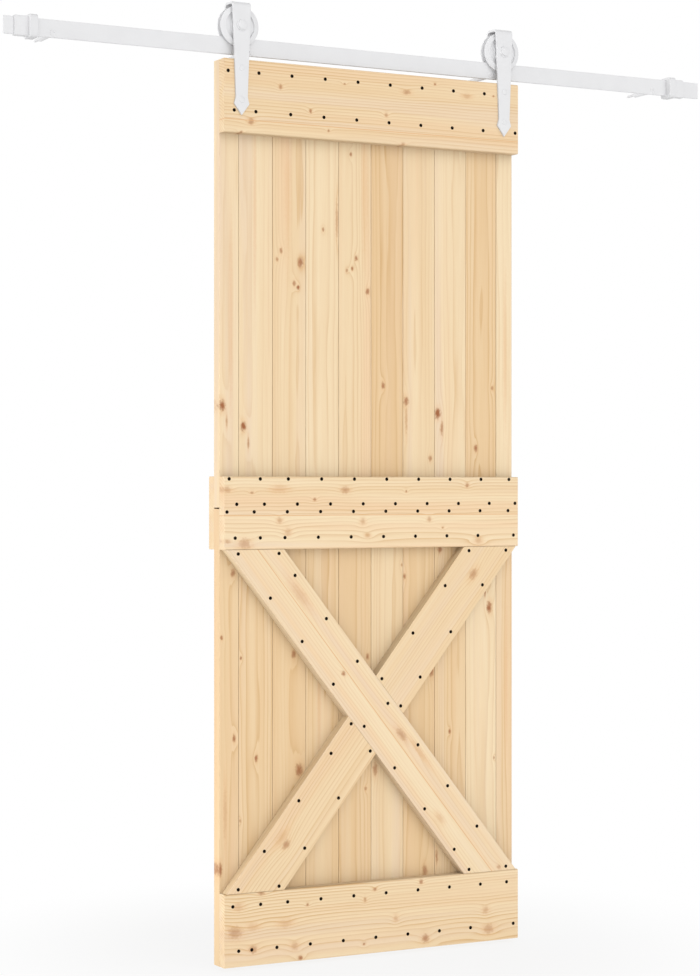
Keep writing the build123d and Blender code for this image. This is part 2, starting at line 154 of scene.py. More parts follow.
class PLANKDOOR_hardware(bpy.types.PropertyGroup):
    """Track, hangers, wheels, bolts and stops."""

    coat: colour("Powder coat", "White coating", (0.80, 0.80, 0.81))
    bumper: colour("Bumper", "White rubber", (0.79, 0.79, 0.80))
    zinc: colour("Zinc", "Plated steel", (0.60, 0.61, 0.63))
    edge: length("Edge rounding", "Rounding of the flat bar's edges", 0.0008)
    corner: length("Turned corner", "Rounding of turned corners", 0.0007)
    fine_corner: length("Fine corner", "Rounding of bearings and sleeves", 0.0003)
    groove_radius: length("Groove radius", "Radius of the wheel's running surface", 0.0262)
    groove_half: length("Groove half width", "Half the groove's width at its foot", 0.004)
    groove_flare: length("Groove flare", "How far each groove side leans out", 0.0025)
    flange_tip: length("Flange tip", "Thickness of a flange at its rim", 0.004)
    bearing_radius: length("Bearing radius", "Radius of the bearing's seat", 0.0161)
    bearing_clearance: length("Bearing clearance", "Air between bearing and sleeve", 0.00005)
    shield_inset: length("Shield inset", "Depth of the bearing's shields", 0.0006)
    hub_radius: length("Hub radius", "Radius of the raised hub", 0.0231)
    rim_radius: length("Rim radius", "Inner radius of the raised rim", 0.0366)
    web_recess: length("Web recess", "Depth of the web below hub and rim", 0.004)
    web_slope: length("Web slope", "Run of the web's sloped sides", 0.0015)
    sleeve_radius: length("Sleeve radius", "Outer radius of the axle sleeve", 0.00905)
    axle_radius: length("Axle radius", "Radius of the axle bolt", 0.006)
    axle_corner: length("Axle corner", "Rounding of the axle bolt's end", 0.0008)
    axle_flange: length("Axle flange", "Thickness of the axle bolt's flange", 0.002)
    axle_flange_radius: length("Axle flange radius", "Radius of that flange", 0.0135)
    axle_hex: length("Axle hex", "Width across flats of axle head and nut", 0.019)
    axle_nut: length("Axle nut", "Height of the axle nut", 0.010)
    bolt_radius: length("Bolt radius", "Radius of the strap bolts", 0.004)
    bolt_head_radius: length("Bolt head radius", "Radius of their round heads", 0.007)
    bolt_head: length("Bolt head", "Height of their round heads", 0.002)
    bolt_corner: length("Bolt corner", "Rounding of their heads", 0.0016)
    nut_hex: length("Nut hex", "Width across flats of the strap nuts", 0.013)
    nut_flange: length("Nut flange", "Thickness of the strap nuts' flange", 0.0018)
    nut_corner: length("Nut corner", "Rounding of that flange", 0.0004)
    lag_radius: length("Lag radius", "Radius of the lag bolts' shank", 0.004)
    lag_root: length("Lag root", "Radius at the root of their thread", 0.0026)
    lag_crest: length("Lag crest", "Radius at the crest of their thread", 0.0034)
    lag_pitch: length("Lag pitch", "Pitch of their thread", 0.0035)
    lag_step: length("Lag step", "Run from their shank to the root of the thread", 0.001)
    lag_point: length("Lag point", "Length of their tapered points", 0.006)
    lag_tip: length("Lag tip", "Length of the bare tip past the thread", 0.0005)
    lag_head_radius: length("Lag head radius", "Radius of their countersunk heads", 0.0075)
    lag_crown: length("Lag crown", "Rise of their heads' crowned faces", 0.0013)
    lag_socket: length("Lag socket", "Width across flats of their sockets", 0.005)
    lag_socket_depth: length("Lag socket depth", "Depth of their sockets", 0.0012)
    lag_socket_lip: length("Lag socket lip", "Depth of the sockets' chamfered mouths", 0.0003)
    spacer_bore: length("Spacer bore", "Radius of the spacers' bore", 0.0043)


class PLANKDOOR_stage(bpy.types.PropertyGroup):
    """Floor, lights and camera."""

    floor_gap: length("Floor gap", "Air under the door", 0.010)
    floor_radius: length("Floor radius", "Radius of the round floor", 1.5)
    floor_near: length("Floor near", "Where the floor starts to fade into the background", 0.4)
    floor_far: length("Floor far", "Where it has faded", 1.2)
    floor_glow: amount("Floor glow", "Share of plain white light in the floor near the door", 0.85)
    floor: colour("Floor", "Colour of the floor", (0.90, 0.90, 0.90))
    front: amount("Front", "Strength of the light from the room, straight in front", 1.305, 5)
    back: amount("Back", "Strength of the even light all round", 0.06, 5)
    behind: amount("Behind", "Strength of the light straight behind", 0.9, 5)
    key: amount("Key", "Strength of the soft light from above in front", 0.25, 20)
    side: amount("Side", "Strength of the soft light from the left", 1.64, 20)
    camera_place: FloatVectorProperty(
        name="Camera", description="Place of the camera", subtype="XYZ", unit="LENGTH", size=3,
        default=(-2.803, -5.116, -1.013),
    )
    camera_turn: angular("Camera turn", "Turn of the level camera from facing along +Y", -0.4981)
    lens: FloatProperty(name="Lens", description="Focal length in millimetres", default=89.04, min=1)


def settings(name):
    """The group of settings of that name."""
    return getattr(bpy.context.scene, f"plank_door_{name}")


# Each board's look: warmth from cream to tan, blush, ring contrast, and its knots and resin streaks.
# A knot is (x, z, radius, stretch along the grain, darkness), in millimetres from the door's lower
# left corner; a darkness of 0 leaves only the warm halo, as in a streak.
UPPER_PLANKS = [
    (0.12, 0.15, 0.8, [(8, 1299, 9, 1.6, 0.9), (19, 1262, 3, 5, 0.4), (30, 1500, 5, 30, 0)]),
    (0.13, 0.10, 0.8, [(62, 1252, 9, 1.5, 0.95), (75, 1213, 3, 5, 0.5), (92, 1780, 4, 40, 0)]),
    (0.42, 0.55, 1.0, [(160, 1665, 5, 1.5, 0.6), (150, 1644, 4, 1.4, 0.5), (212, 1640, 9, 1.5, 0.75),
                       (195, 1589, 5, 1.6, 0.6), (205, 1580, 5, 1.3, 0.9), (178, 1800, 8, 16, 0)]),
    (0.14, 0.05, 0.9, [(272, 1720, 4, 1.6, 0.6), (309, 1745, 4, 12, 0.35)]),
    (0.38, 0.55, 1.0, [(361, 1656, 5, 1.5, 0.75), (350, 1631, 4, 1.4, 0.8), (336, 1626, 4, 1.4, 0.5),
                       (392, 1578, 6, 1.6, 0.7), (347, 1903, 4, 1.5, 0.7), (384, 1830, 8, 14, 0)]),
    (0.99, 0.15, 2.0, [(435, 1354, 6, 1.6, 0.7)]),
    (0.41, 0.45, 0.9, [(498, 1317, 8, 1.6, 0.75), (499, 1270, 4, 9, 0.3), (566, 1180, 6, 1.5, 0.6)]),
    (0.15, 0.25, 0.9, [(587, 1289, 10, 1.4, 1.0), (599, 1253, 5, 4, 0.6)]),
    (0.80, 0.20, 2.0, [(696, 1205, 6, 1.7, 0.8), (742, 1353, 4, 1.5, 0.5)]),
    (0.04, 0.25, 0.7, [(780, 1450, 5, 26, 0)]),
]
# The lower planks' warmth is partly their own tone and partly painted shade: they are set warmer and darker
# than the upper planks for the shade they sit in between the braces and rails.
LOWER_PLANKS = [
    (0.69, 0.45, 1.4, [(6, 761, 4, 1.5, 0.7), (38, 527, 5, 2.0, 0.8), (35, 911, 7, 1.6, 0.6),
                       (15, 352, 5, 14, 0.15), (3, 224, 6, 3, 0.8)]),
    (0.72, 0.30, 1.5, [(56, 712, 3, 1.6, 0.8), (95, 477, 5, 2.0, 0.8), (54, 334, 3, 1.5, 0.5)]),
    (0.95, 0.35, 1.2, [(194, 717, 7, 1.7, 0.7), (208, 444, 11, 1.6, 0.75)]),
    (0.76, 0.30, 1.5, [(262, 640, 5, 24, 0)]),
    (0.96, 0.20, 1.6, [(392, 704, 5, 1.8, 0.7), (387, 389, 4, 1.6, 0.5)]),
    (0.48, 0.20, 1.0, [(413, 435, 7, 2.6, 0.55), (486, 923, 3, 1.5, 0.4)]),
    (0.90, 0.45, 1.2, [(494, 895, 5, 1.8, 0.7), (569, 663, 7, 2.2, 0.7), (551, 180, 8, 2.2, 0.6)]),
    (0.70, 0.15, 1.3, [(593, 958, 7, 1.4, 0.7), (621, 515, 4, 1.8, 0.8), (584, 211, 4, 5, 0.6)]),
    (0.20, 0.15, 1.0, [(734, 815, 9, 1.8, 0.85), (722, 850, 3, 4, 0.6), (748, 444, 3, 1.5, 0.5)]),
    (0.72, 0.30, 1.2, [(782, 620, 5, 26, 0)]),
]
# A rail or brace that is glued up from two strips has the seam's place across the board, in metres,
# and the warmth of the second strip before its knots.
RAILS = {
    "top_rail": (0.36, 0.45, 1.8, 0.055, 0.30, [
        (145, 2044, 7, 0.7, 0.55), (68, 1958, 9, 0.9, 0.5), (43, 1931, 4, 1.2, 0.6),
        (315, 2064, 3, 1.2, 0.6), (484, 2058, 7, 1.6, 0.45), (563, 2083, 3, 1.2, 0.7),
        (653, 2061, 7, 1.8, 0.2), (729, 2067, 3, 1.2, 0.6), (224, 1993, 6, 0.7, 0.75),
        (428, 1999, 6, 0.8, 0.4), (272, 1950, 4, 0.8, 0.6), (474, 1932, 5, 1.4, 0.4)]),
    "middle_rail": (0.20, 0.60, 1.5, 0.006, 0.0, [
        (6, 1104, 8, 1.6, 0.3), (71, 1097, 4, 1.3, 0.55), (142, 1105, 11, 1.8, 0.08),
        (235, 1081, 5, 1.0, 0.65), (317, 1103, 9, 1.3, 0.45), (142, 1033, 9, 0.8, 0.3),
        (164, 1004, 10, 0.9, 0.2), (52, 979, 15, 1.1, 0.35), (8, 985, 6, 1.5, 0.3),
        (364, 1029, 9, 0.8, 0.25), (483, 1100, 4, 0.8, 0.6), (654, 1115, 7, 0.8, 0.55),
        (547, 1033, 7, 0.9, 0.35), (585, 1012, 3, 1.2, 0.5), (377, 995, 6, 1.2, 0.2),
        (686, 979, 9, 1.2, 0.15)]),
    "bottom_rail": (0.28, 0.35, 2.0, [
        (28, 80, 17, 1.2, 0.4), (73, 90, 10, 1.6, 0.1), (158, 91, 12, 1.5, 0.12), (216, 130, 4, 1.0, 0.65),
        (95, 166, 5, 2.0, 0.5), (73, 38, 10, 1.2, 0.5), (182, 36, 11, 0.9, 0.25), (197, 7, 7, 1.0, 0.8),
        (35, 139, 12, 1.1, 0.15), (397, 152, 6, 0.9, 0.6), (524, 160, 7, 0.8, 0.6), (370, 130, 7, 0.6, 0.4),
        (454, 77, 9, 0.7, 0.2), (706, 77, 11, 0.8, 0.25), (536, 23, 12, 0.9, 0.6), (715, 30, 14, 1.1, 0.35),
        (367, 24, 4, 0.9, 0.7)]),
    "back_rail": (0.35, 0.30, 1.0, [
        (180, 1030, 9, 1.3, 0.7), (520, 1075, 7, 1.2, 0.6), (690, 1000, 5, 1.4, 0.8)]),
}
BRACES = {
    "long_brace": (0.12, 0.55, 0.8, 0.004, 0.20, [
        (312, 669, 6, 1.2, 0.7), (196, 859, 12, 3.0, 0.1), (470, 517, 10, 2.2, 0.4), (521, 472, 7, 5, 0.1),
        (745, 179, 6, 1.3, 0.4), (576, 310, 10, 1.6, 0.1)]),
    "upper_short_brace": (0.50, 0.45, 1.1, [(671, 898, 11, 1.6, 0.45)]),
    "lower_short_brace": (0.46, 0.40, 1.3, [(159, 276, 10, 1.3, 0.5), (150, 292, 14, 1.6, 0.1)]),
}
# A seam that lies outside every board
NO_SEAM = 9.0
# Boards are numbered, and a board's number sets its rings: planks from 1, rails and braces from here
FIRST_RAIL, FIRST_BRACE = 31, 41

# How the pith lies from board to board, in millimetres: it starts somewhere and steps through a span
PITH_STEP, PITH_SPAN = 37, 61
PITH_START_UPRIGHT, PITH_START_TURNED = -30, 88
PITH_DEPTH, PITH_DEPTH_STEP, PITH_DEPTH_SPAN = 45, 23, 50
# A rail or brace is sawn further off the pith, with wider rings that stray more
TURNED_RINGS, TURNED_WANDER = 1.55, 1.9
BOARD_SEED, STRIP_SEED = 1.37, 5.7
SEED_SHIFT = (1.0, 0.7, 1.9)

# Noise in the wood: scale per metre across, through and along the grain, shift, detail, roughness
FIGURES = {
    "stray across": ((7, 7, 1.6), (0, 0, 0), 3, 0.5),
    "stray through": ((7, 7, 1.6), (3.1, 1.7, 9.2), 3, 0.5),
    "uneven rings": ((60, 60, 2.0), (0, 0, 0), 2, 0.5),
    "ring strength": ((34, 34, 1.1), (0, 0, 0), 2, 0.5),
    "broad tone": ((38, 38, 0.9), (0, 0, 0), 3, 0.6),
    "pink": ((22, 22, 0.7), (8.3, 2.2, 4.4), 2, 0.5),
    "grey": ((30, 30, 0.6), (1.9, 7.4, 3.3), 2, 0.5),
    "fibre": ((900, 900, 16), (0, 0, 0), 2, 0.5),
}
# Other noise: scale, detail and roughness; the skin's grain has a scale of its own in each finish
RAGGED = ((190, 190, 150), 3, 0.5)
CLOUDS = ((21, 21, 21), 3, 0.5)
SPECKS = ((40, 40, 40), 3, 0.5)
SKIN = ((1, 1, 1), 3, 0.6)
MID_NOISE = 0.5
# Soft steps: the value where each starts and the one where it is full
SOFT_STEPS = {
    "bark": (0.3, 0.0), "heart": (1.2, 0.15), "halo": (1.1, 0.1), "ring end": (1.0, 0.9),
    "ring strength": (0.25, 0.8), "pink": (0.42, 0.72), "grey": (0.5, 0.68), "seam": (0.0016, 0.0004),
    "dulling": (0.35, 0.75),
}
# A knot, measured in its own radii across and along: its ragged outline, bark, halo and lift of the rings
KNOT_RAGGED, HALO_RAGGED_SHARE = 1.1, 0.5
BARK_RADIUS, BARK_DARKENING, HEART_DARKENING = 0.75, 0.2, 1.1
HALO_REACH, LIFT_REACH = (1.6, 2.1), (2.2, 3.0)
LIFTED_RINGS = 1.1
# How much each part of the figure shows in the wood's colour, roughness and height
RING_SHARPNESS, RING_LEAST, RING_RANGE = 3.4, 0.2, 1.15
TONE_RANGE = 1.3
GREY_SHARE, GREY_WARMTH_SHARE = 0.72, 0.6
FIBRE_LEVEL, FIBRE_SHARE = 0.35, 0.34
HALO_SHARE, SEAM_SHARE = 0.36, 0.75
WOOD_ROUGHNESS, FIBRE_ROUGHNESS, LATE_SHEEN = 0.52, 0.2, 0.15
LATE_HEIGHT, FIBRE_HEIGHT, SEAM_DEPTH = 0.8, 0.5, 1.5
CLOUD_ROUGHNESS = 0.18
RELIEF_STRENGTH = 0.6

BLACK = (0.0, 0.0, 0.0, 1.0)
WHITE = (1.0, 1.0, 1.0, 1.0)
DULL_GREY = (0.45, 0.45, 0.46, 1.0)
SPECK_GREY = (0.6, 0.6, 0.6, 1.0)
TINTS = {
    "Cream": "cream", "Tan": "tan", "Cool Tint": "cool", "Blush Tint": "blush", "Late Wood": "late",
    "Halo Tint": "halo", "Knot Tint": "knot",
}
RUNNING = ("Lift", "Heart", "Halo")
SURFACE = {"Color": "Color", "Roughness": "Float", "Height": "Float"}

# Each slot's finish: material, settings and tint, grain per metre, dulling, roughness, relief, metal, gloss
FINISHES = {
    "white_metal": ("white_powder_coat", "hardware", "coat", 1400, 0.05, 0.42, 0.00008, 0.0, 0.5),
    "plain_steel": ("zinc_plate", "hardware", "zinc", 2600, 0.25, 0.34, 0.00003, 1.0, 0.5),
    "bumpers": ("white_rubber", "hardware", "bumper", 900, 0.06, 0.62, 0.00012, 0.0, 0.5),
    "black_screws": ("black_phosphate", "screws", "tint", 3000, 0.005, 0.7, 0.00003, 0.0, 0.04),
}

# The two lamps: spread in degrees and the way to the light
LAMPS = {"key": (50, (0.1, -0.8, 0.7)), "side": (40, (-1.0, 0.12, 0.10))}
FLOOR_SPECK = 0.04
FLOOR_ROUGHNESS = 0.85


# Nodes


class Value:
    """An output in a node tree; sums with it add math nodes to that tree."""

    def __init__(self, tree, socket):
        self.tree, self.socket = tree, socket

    def __add__(self, other):
        return maths("ADD", self, other)

    def __sub__(self, other):
        return maths("SUBTRACT", self, other)

    def __rsub__(self, other):
        return maths("SUBTRACT", other, self)

    def __mul__(self, other):
        return maths("MULTIPLY", self, other)

    def __truediv__(self, other):
        return maths("DIVIDE", self, other)

    def __rtruediv__(self, other):
        return maths("DIVIDE", other, self)

    def __pow__(self, other):
        return maths("POWER", self, other)

    def __abs__(self):
        return maths("ABSOLUTE", self)


def add_node(tree, kind, values=None, **options):
    """Adds a node, sets it up and links or fills its inputs."""
    node = tree.nodes.new(kind)
    for key, value in options.items():
        setattr(node, key, value)
    for socket, value in (values or {}).items():
        if isinstance(value, Value):
            tree.links.new(value.socket, node.inputs[socket])
        else:
            node.inputs[socket].default_value = value
    return node


def add_value(tree, kind, values=None, output=0, **options):
    """Adds a node and gives one of its outputs."""
    return Value(tree, add_node(tree, kind, values, **options).outputs[output])


def tree_of(*values):
    """The tree that the first of these values with one is in."""
    return next(value.tree for value in values if isinstance(value, Value))


def maths(operation, *values):
    """One math node's result."""
    return add_value(tree_of(*values), "ShaderNodeMath", dict(enumerate(values)), operation=operation)


def vectors(operation, *values, output=0):
    """One vector math node's result."""
    inputs = dict(enumerate(values))
    return add_value(tree_of(*values), "ShaderNodeVectorMath", inputs, output, operation=operation)


def scaled(vector, scale):
    """A vector times a number that a node gives."""
    return add_value(vector.tree, "ShaderNodeVectorMath", {0: vector, "Scale": scale}, operation="SCALE")


def flat_length(vector):
    """A vector's length seen along Z."""
    return vectors("LENGTH", vectors("MULTIPLY", vector, (1, 1, 0)), output="Value")


def axis(vector, name):
    """One part of a vector."""
    return add_value(vector.tree, "ShaderNodeSeparateXYZ", {0: vector}, name)


def joined(x, y, z):
    """A vector of three numbers."""
    return add_value(tree_of(x, y, z), "ShaderNodeCombineXYZ", {0: x, 1: y, 2: z})


def smooth_step(value, low, high):
    """0 at low and 1 at high, with a soft start and end."""
    span = {0: value, 1: low, 2: high, 3: 0.0, 4: 1.0}
    return add_value(value.tree, "ShaderNodeMapRange", span, interpolation_type="SMOOTHSTEP")


def noise(vector, scale, detail, rough):
    """Noise about 0.5, stretched by a scale for each axis."""
    stretched = vectors("MULTIPLY", vector, scale)
    inputs = {"Vector": stretched, "Scale": 1.0, "Detail": detail, "Roughness": rough}
    return add_value(vector.tree, "ShaderNodeTexNoise", inputs, "Fac")


def blend_colours(share, first, second):
    """Two colours mixed by a share."""
    inputs = {0: share, 6: first, 7: second}
    return add_value(share.tree, "ShaderNodeMix", inputs, 2, data_type="RGBA", clamp_factor=True)


def new_group(name, inputs, outputs, tree_kind="ShaderNodeTree"):
    """An empty node group and its inputs."""
    tree = bpy.data.node_groups.new(name, tree_kind)
    for direction, sockets in (("INPUT", inputs), ("OUTPUT", outputs)):
        for socket, kind in sockets.items():
            tree.interface.new_socket(socket, in_out=direction, socket_type=f"NodeSocket{kind}")
    given = tree.nodes.new("NodeGroupInput").outputs
    return tree, {socket: Value(tree, given[socket]) for socket in inputs}


def make_knot_group():
    """A knot: how it lifts the year rings round it, its dark heart and its warm halo."""
    floats = dict.fromkeys(("Radius", "Stretch", "Darkness", *RUNNING), "Float")
    tree, given = new_group(
        "Knot", {"Vector": "Vector", "Centre": "Vector", **floats}, dict.fromkeys(RUNNING, "Float")
    )
    away = vectors("SUBTRACT", given["Vector"], given["Centre"])
    across = abs(axis(away, "X") / given["Radius"])
    along = abs(axis(away, "Z") / (given["Radius"] * given["Stretch"]))

    def reach(wide, tall):
        return (across / wide) ** 2.0 + (along / tall) ** 2.0

    ragged = (noise(given["Vector"], *RAGGED) - MID_NOISE) * KNOT_RAGGED
    near = maths("SQRT", reach(1.0, 1.0)) + ragged
    bark = smooth_step(abs(near - BARK_RADIUS), *SOFT_STEPS["bark"])
    darkness = (bark * BARK_DARKENING + HEART_DARKENING) * given["Darkness"]
    heart = smooth_step(near, *SOFT_STEPS["heart"]) * darkness
    around = maths("SQRT", reach(*HALO_REACH)) + ragged * HALO_RAGGED_SHARE
    halo = smooth_step(around, *SOFT_STEPS["halo"])
    lift = LIFTED_RINGS / (reach(*LIFT_REACH) + 1.0) ** 2.0
    add_node(tree, "NodeGroupOutput", {
        "Lift": lift + given["Lift"],
        "Heart": maths("MAXIMUM", heart, given["Heart"]),
        "Halo": maths("MAXIMUM", halo, given["Halo"]),
    })
    return tree


def make_softwood_group():
    """Planed softwood in a board's own frame: X across, Y through and Z along the grain."""
    floats = dict.fromkeys((
        "Warmth", "Second Warmth", "Seam", "Blush", "Contrast", "Ring Spacing", "Wander", "Seed", *RUNNING,
    ), "Float")
    tints = dict.fromkeys(TINTS, "Color")
    tree, given = new_group("Softwood", {"Vector": "Vector", "Pith": "Vector", **floats, **tints}, SURFACE)
    place, across = given["Vector"], axis(given["Vector"], "X")
    second = maths("GREATER_THAN", across, given["Seam"])
    seed = given["Seed"] + second * STRIP_SEED
    own = vectors("ADD", place, joined(*(seed * share for share in SEED_SHIFT)))

    def figure(name):
        scale, shift, detail, rough = FIGURES[name]
        return noise(vectors("ADD", own, shift), scale, detail, rough)

    # year rings round the pith, each dark at its outer edge
    stray = joined(figure("stray across") - MID_NOISE, figure("stray through") - MID_NOISE, 0.0)
    strayed = vectors("ADD", place, scaled(stray, given["Wander"]))
    radius = flat_length(vectors("SUBTRACT", strayed, given["Pith"]))
    rings = radius / given["Ring Spacing"] + given["Lift"]
    phase = maths("FRACT", rings + figure("uneven rings"))
    late = phase ** RING_SHARPNESS * smooth_step(phase, *SOFT_STEPS["ring end"])
    strength = smooth_step(figure("ring strength"), *SOFT_STEPS["ring strength"])
    late = late * given["Contrast"] * (strength * RING_RANGE + RING_LEAST)

    # the board's tone, its pink and grey stripes, its rings, fibres and knots
    side_warmth = given["Warmth"] * (1.0 - second) + given["Second Warmth"] * second
    warmth = side_warmth + (figure("broad tone") - MID_NOISE) * TONE_RANGE
    base = blend_colours(warmth, given["Cream"], given["Tan"])
    pink = smooth_step(figure("pink"), *SOFT_STEPS["pink"])
    base = blend_colours(pink * given["Blush"], base, given["Blush Tint"])
    grey = smooth_step(figure("grey"), *SOFT_STEPS["grey"])
    grey = grey * (GREY_SHARE - side_warmth * GREY_WARMTH_SHARE)
    base = blend_colours(grey, base, given["Cool Tint"])
    base = blend_colours(late, base, given["Late Wood"])
    fibre = figure("fibre")
    base = blend_colours((fibre - FIBRE_LEVEL) * FIBRE_SHARE, base, given["Late Wood"])
    base = blend_colours(given["Halo"] * HALO_SHARE, base, given["Halo Tint"])
    base = blend_colours(given["Heart"], base, given["Knot Tint"])
    line = smooth_step(abs(across - given["Seam"]), *SOFT_STEPS["seam"])
    base = blend_colours(line * SEAM_SHARE, base, given["Halo Tint"])
    add_node(tree, "NodeGroupOutput", {
        "Color": base,
        "Roughness": fibre * FIBRE_ROUGHNESS + WOOD_ROUGHNESS - late * LATE_SHEEN,
        "Height": late * LATE_HEIGHT + fibre * FIBRE_HEIGHT - line * SEAM_DEPTH,
    })
    return tree


def make_skin_group():
    """A fine uneven skin for coated, moulded and plated surfaces."""
    floats = dict.fromkeys(("Grain", "Dulling", "Shine"), "Float")
    tree, given = new_group("Fine Skin", {"Vector": "Vector", "Tint": "Color", **floats}, SURFACE)
    cloud = noise(given["Vector"], *CLOUDS)
    dull = smooth_step(cloud, *SOFT_STEPS["dulling"]) * given["Dulling"]
    add_node(tree, "NodeGroupOutput", {
        "Color": blend_colours(dull, given["Tint"], DULL_GREY),
        "Roughness": given["Shine"] + (cloud - MID_NOISE) * CLOUD_ROUGHNESS,
        "Height": noise(scaled(given["Vector"], given["Grain"]), *SKIN),
    })
    return tree


def add_group(tree, name, maker, values):
    """A node of the shared group of that name, which is made the first time it is asked for."""
    group = bpy.data.node_groups.get(name) or maker()
    return add_node(tree, "ShaderNodeGroup", values, node_tree=group)


# Materials


def rgba(tint):
    """A setting's colour as a socket takes it."""
    return (*tint, 1.0)


def new_material(name):
    """An empty material with its shader."""
    material = bpy.data.materials.new(name)
    material.use_nodes = True
    tree = material.node_tree
    tree.nodes.clear()
    shader = add_node(tree, "ShaderNodeBsdfPrincipled")
    add_node(tree, "ShaderNodeOutputMaterial", {"Surface": Value(tree, shader.outputs[0])})
    return material, tree, shader


def object_place(tree):
    """Object coordinates."""
    return add_value(tree, "ShaderNodeTexCoord", output="Object")


def connect(tree, shader, group, depth):
    """Feeds a group's colour, roughness and height into the shader."""
    tree.links.new(group.outputs["Color"], shader.inputs["Base Color"])
    tree.links.new(group.outputs["Roughness"], shader.inputs["Roughness"])
    height = Value(tree, group.outputs["Height"])
    relief = {"Height": height, "Strength": RELIEF_STRENGTH, "Distance": depth}
    tree.links.new(add_node(tree, "ShaderNodeBump", relief).outputs[0], shader.inputs["Normal"])


def softwood(name, centre, turn, look, number):
    """The material of one board, with its own rings, warmth and knots."""
    wood = settings("wood")
    warmth, blush, contrast, *glued, knots = look
    seam, second_warmth = glued or (NO_SEAM, warmth)
    material, tree, shader = new_material(name)
    own_frame = {"Vector": object_place(tree), "Location": centre, "Rotation": (0, turn, 0)}
    board = add_value(tree, "ShaderNodeMapping", own_frame, vector_type="TEXTURE")
    running = dict.fromkeys(RUNNING, 0.0)
    for x, z, radius, stretch, darkness in knots:
        dx, dz = DOOR_CORNER.x + x * MM - centre.x, DOOR_CORNER.z + z * MM - centre.z
        # a knot runs straight through its board, so only its place across and along counts
        place = (dx * math.cos(turn) - dz * math.sin(turn), 0, dx * math.sin(turn) + dz * math.cos(turn))
        knot = add_group(tree, "Knot", make_knot_group, {
            "Vector": board, "Centre": place, "Radius": radius * MM, "Stretch": stretch,
            "Darkness": darkness, **running,
        })
        running = {key: Value(tree, knot.outputs[key]) for key in RUNNING}
    pith_start = PITH_START_TURNED if turn else PITH_START_UPRIGHT
    pith = (
        number * PITH_STEP % PITH_SPAN + pith_start,
        number * PITH_DEPTH_STEP % PITH_DEPTH_SPAN + PITH_DEPTH,
        0,
    )
    grain = add_group(tree, "Softwood", make_softwood_group, {
        "Vector": board, "Pith": [part * MM for part in pith], "Seam": seam, "Seed": number * BOARD_SEED,
        "Warmth": warmth, "Second Warmth": second_warmth, "Blush": blush,
        "Contrast": contrast * wood.contrast,
        "Ring Spacing": wood.ring_spacing * (TURNED_RINGS if turn else 1.0),
        "Wander": wood.wander * (TURNED_WANDER if turn else 1.0),
        **{socket: rgba(getattr(wood, key)) for socket, key in TINTS.items()}, **running,
    })
    connect(tree, shader, grain, wood.relief)
    # boards throw back less light on each other than they show, so the corners stay shaded
    bounced = add_value(tree, "ShaderNodeLightPath", output="Is Diffuse Ray")
    tint = blend_colours(bounced * wood.corner_shade, Value(tree, grain.outputs["Color"]), BLACK)
    tree.links.new(tint.socket, shader.inputs["Base Color"])
    return material


def finish(slot):
    """The coated, plated or moulded finish of a slot, made the first time it is asked for."""
    name, group, tint, grain, dulling, shine, depth, metal, gloss = FINISHES[slot]
    found = bpy.data.materials.get(name)
    if found:
        return found
    material, tree, shader = new_material(name)
    skin = add_group(tree, "Fine Skin", make_skin_group, {
        "Vector": object_place(tree), "Tint": rgba(getattr(settings(group), tint)), "Grain": grain,
        "Dulling": dulling, "Shine": shine,
    })
    connect(tree, shader, skin, depth)
    shader.inputs["Metallic"].default_value = metal
    shader.inputs["Specular IOR Level"].default_value = gloss
    return material


# Meshes


def place_object(name, data):
    """A new object in the scene, at the origin."""
    thing = bpy.data.objects.new(name, data)
    bpy.context.scene.collection.objects.link(thing)
    return thing


def new_piece(name, mesh, body, slot, *nodes, material=None):
    """Puts a finished mesh in the scene on its body, in place of its CAD nodes."""
    mesh.materials.clear()
    mesh.materials.append(material or finish(slot))
    piece = place_object(name, mesh)
    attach(piece, body)
    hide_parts(*nodes)


def write_mesh(shape, mesh):
    """Writes a shape into a mesh and frees it."""
    shape.to_mesh(mesh)
    shape.free()


def write_smooth(shape, mesh):
    """Writes a shape into a mesh with all its faces smooth."""
    for face in shape.faces:
        face.smooth = True
    write_mesh(shape, mesh)


def evaluated_mesh(piece, name):
    """A plain mesh of a piece with its modifiers, which is then removed."""
    graph = bpy.context.evaluated_depsgraph_get()
    mesh = bpy.data.meshes.new_from_object(piece.evaluated_get(graph))
    mesh.name = name
    bpy.data.objects.remove(piece)
    return mesh


def eased_mesh(node, width, segments=BOARD_EDGE_STEPS, reshape=None):
    """A copy of a CAD node's mesh with its edges rounded, its points reshaped first where asked."""
    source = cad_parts[node].data
    mesh = bpy.data.meshes.new(f"{node}_rough")
    points = [reshape(v.co) if reshape else v.co for v in source.vertices]
    mesh.from_pydata(points, [], [tuple(p.vertices) for p in source.polygons])
    shape = bmesh.new()
    shape.from_mesh(mesh)
    bmesh.ops.remove_doubles(shape, verts=shape.verts, dist=WELD)
    bmesh.ops.dissolve_limit(shape, angle_limit=FLAT_ANGLE, verts=shape.verts, edges=shape.edges)
    write_smooth(shape, mesh)
    rough = place_object(f"{node}_rough", mesh)
    bevel = rough.modifiers.new("Eased edges", "BEVEL")
    bevel.width = width
    bevel.segments = segments
    bevel.limit_method = "ANGLE"
    bevel.angle_limit = EASED_ANGLE
    rough.modifiers.new("Flat faces", "WEIGHTED_NORMAL").keep_sharp = True
    return evaluated_mesh(rough, f"{node}_eased")


def turned_piece(name, shape, body, slot, node):
    """Closes a turned shape, points its faces outwards and makes it a piece."""
    bmesh.ops.remove_doubles(shape, verts=shape.verts, dist=TURNED_WELD)
    bmesh.ops.recalc_face_normals(shape, faces=shape.faces)
    mesh = bpy.data.meshes.new(name)
    write_smooth(shape, mesh)
    mesh.set_sharp_from_angle(angle=TURNED_SHARP_ANGLE)
    new_piece(name, mesh, body, slot, node)


